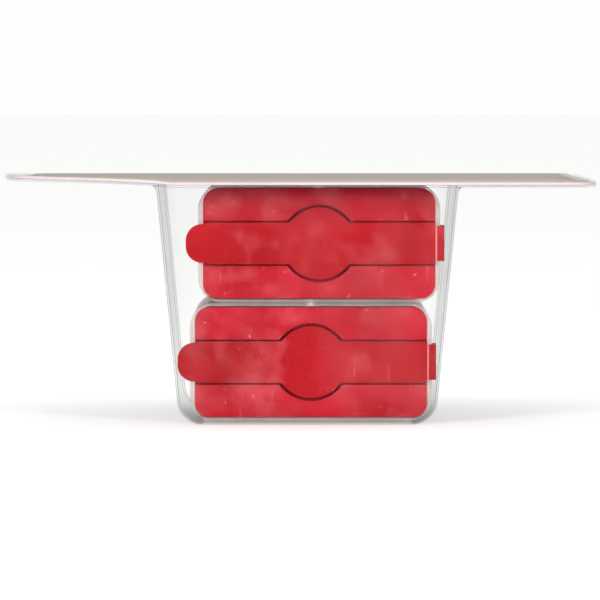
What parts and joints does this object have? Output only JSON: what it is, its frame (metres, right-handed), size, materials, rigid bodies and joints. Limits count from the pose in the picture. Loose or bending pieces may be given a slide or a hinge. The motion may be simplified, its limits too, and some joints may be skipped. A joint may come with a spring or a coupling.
{
  "type": "cue chalk pack",
  "caption": "Clear deep blister on a sliding backing card, holding two stacked frosted chalk cases with red lids, hinged closing straps and wrapped chalk cubes inside.",
  "frame": {"origin": "centre of the card's outline in X and Y, at the blister's flat front face in Z", "axes": "+Z from the blister's front to the card, +Y up the card to its hanging hole, +X across the card to the straps' hinges"},
  "size_m": [0.1274, 0.1524, 0.0537],
  "materials": {
    "clear_film": "clear thermoformed film, glossy",
    "paperboard": "uncoated grey-beige board back",
    "frosted_plastic": "frosted translucent moulding",
    "red_plastic": "satin moulded red",
    "chalk": "dusty pressed chalk",
    "wrap_paper": "printed paper wrap, plain"
  },
  "bodies": {
    "pack": {"blister": "clear_film", "lower_case": "frosted_plastic", "lower_lid": "red_plastic", "lower_hinge_leaf": "red_plastic", "lower_chalk_1": "chalk", "lower_paper_1": "wrap_paper", "lower_chalk_2": "chalk", "lower_paper_2": "wrap_paper", "lower_chalk_3": "chalk", "lower_paper_3": "wrap_paper", "lower_chalk_4": "chalk", "lower_paper_4": "wrap_paper", "lower_chalk_5": "chalk", "lower_paper_5": "wrap_paper", "lower_chalk_6": "chalk", "lower_paper_6": "wrap_paper", "upper_case": "frosted_plastic", "upper_lid": "red_plastic", "upper_hinge_leaf": "red_plastic", "upper_chalk_1": "chalk", "upper_paper_1": "wrap_paper", "upper_chalk_2": "chalk", "upper_paper_2": "wrap_paper", "upper_chalk_3": "chalk", "upper_paper_3": "wrap_paper", "upper_chalk_4": "chalk", "upper_paper_4": "wrap_paper", "upper_chalk_5": "chalk", "upper_paper_5": "wrap_paper", "upper_chalk_6": "chalk", "upper_paper_6": "wrap_paper"},
    "card": {"backing_card": "paperboard"},
    "lower_strap": {"lower_strap": "red_plastic"},
    "upper_strap": {"upper_strap": "red_plastic"}
  },
  "joints": [
    {"name": "card_slide", "type": "slide", "parent": "pack", "child": "card", "axis": [0, 1, 0], "range_m": [0, 0.118]},
    {"name": "lower_strap_hinge", "type": "hinge", "parent": "pack", "child": "lower_strap", "pos_m": [0.0278, -0.0519, 0.01345], "axis": [0, 0, 1], "range_deg": [0, 5]},
    {"name": "upper_strap_hinge", "type": "hinge", "parent": "pack", "child": "upper_strap", "pos_m": [0.0296, -0.0519, 0.03945], "axis": [0, 0, 1], "range_deg": [0, 9]}
  ]
}
